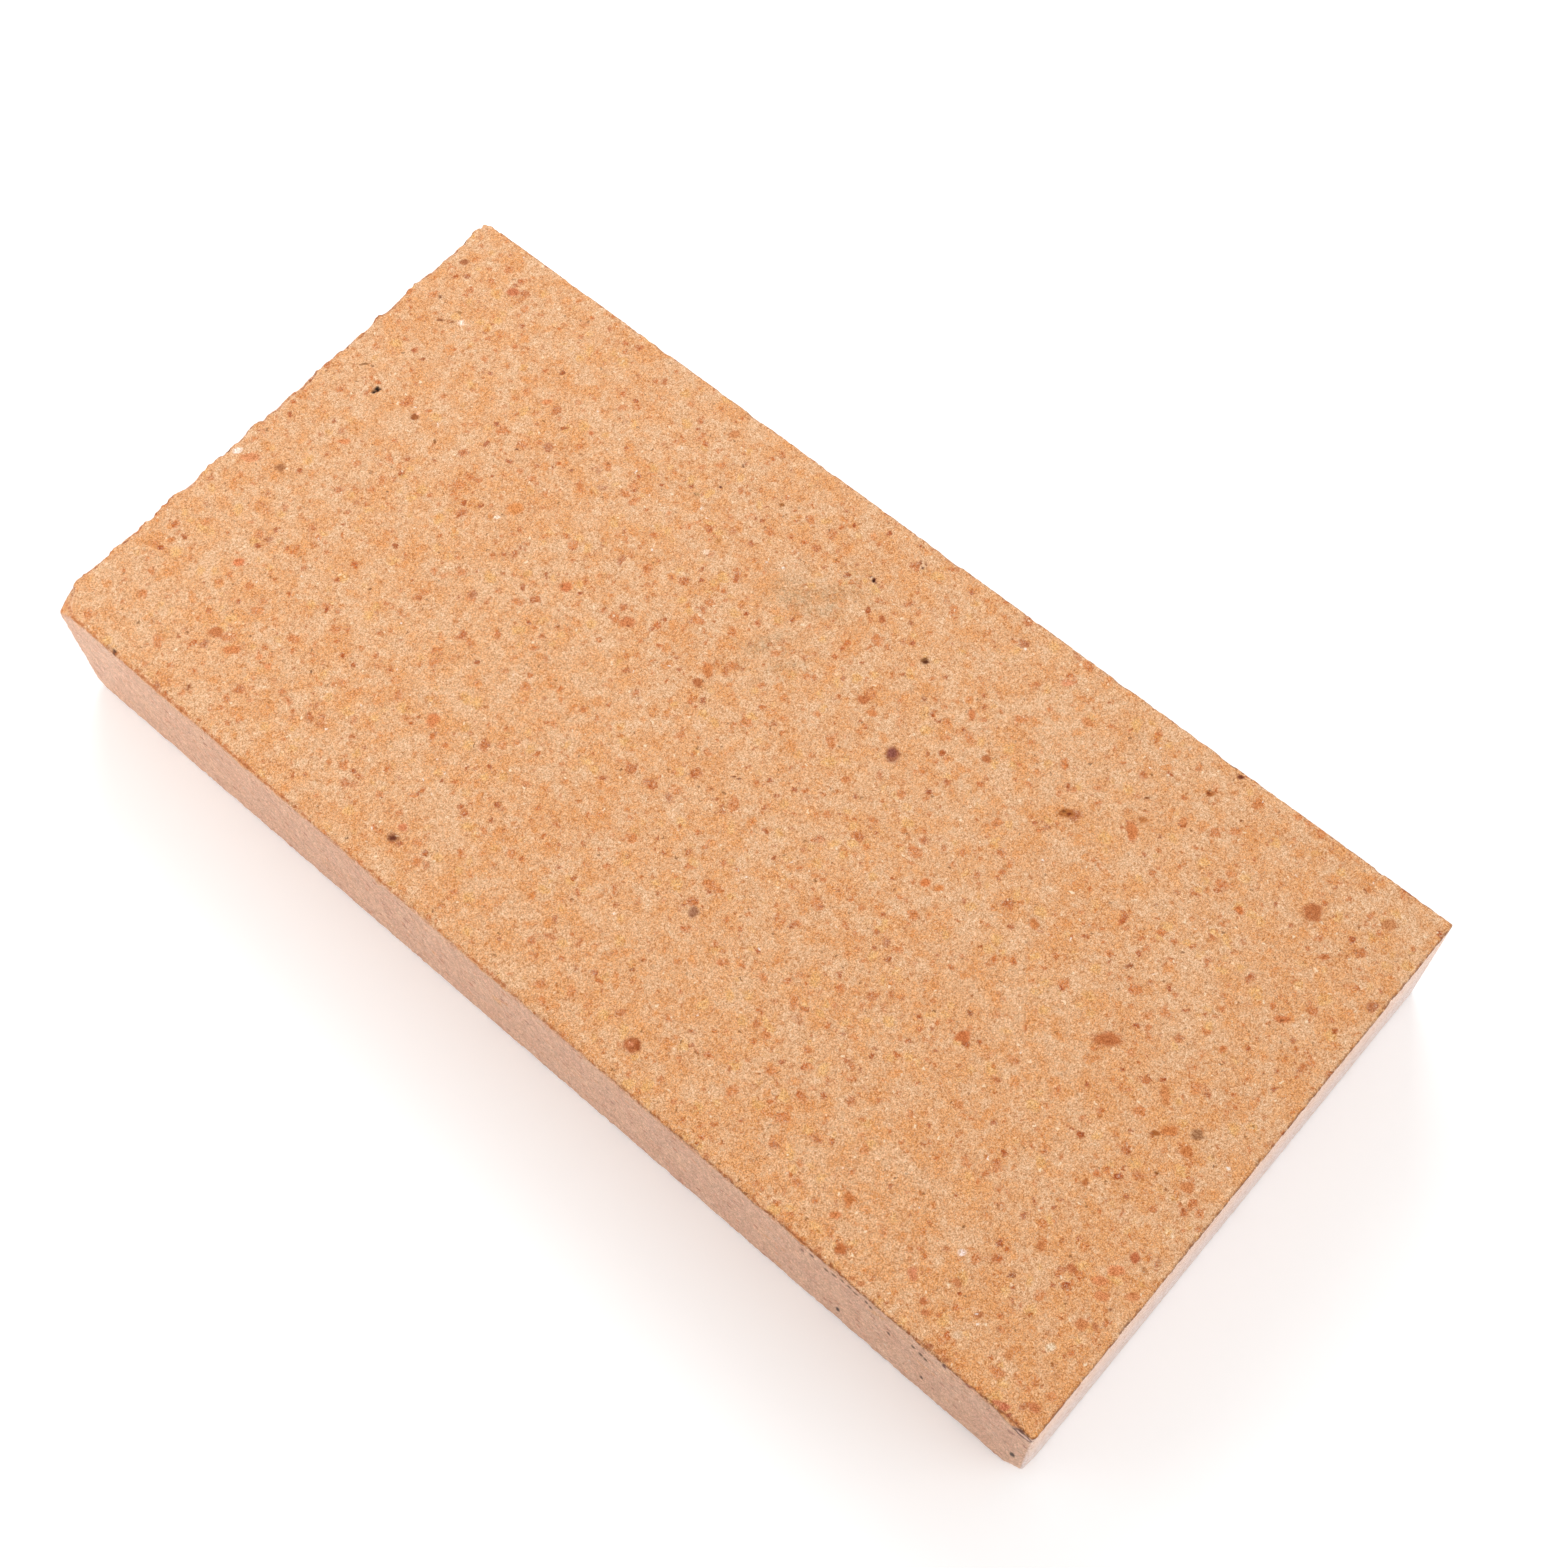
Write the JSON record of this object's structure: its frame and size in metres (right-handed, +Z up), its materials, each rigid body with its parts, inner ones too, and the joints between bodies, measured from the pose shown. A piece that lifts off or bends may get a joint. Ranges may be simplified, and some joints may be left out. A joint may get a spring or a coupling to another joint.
{
  "type": "clay brick",
  "caption": "Thin solid fireclay brick with no holes or recess, lying on its bed face, with worn arrises and broken corners.",
  "frame": {"origin": "middle of the lower bed face, which the brick lies on", "axes": "+X along the length, +Y across the width away from the long face in view, +Z up through the thickness"},
  "size_m": [0.23, 0.114, 0.032],
  "materials": {
    "fireclay": "matte, fine-grained, sandy orange with rust-coloured grog specks"
  },
  "bodies": {
    "root": {"brick": "fireclay"}
  },
  "joints": []
}
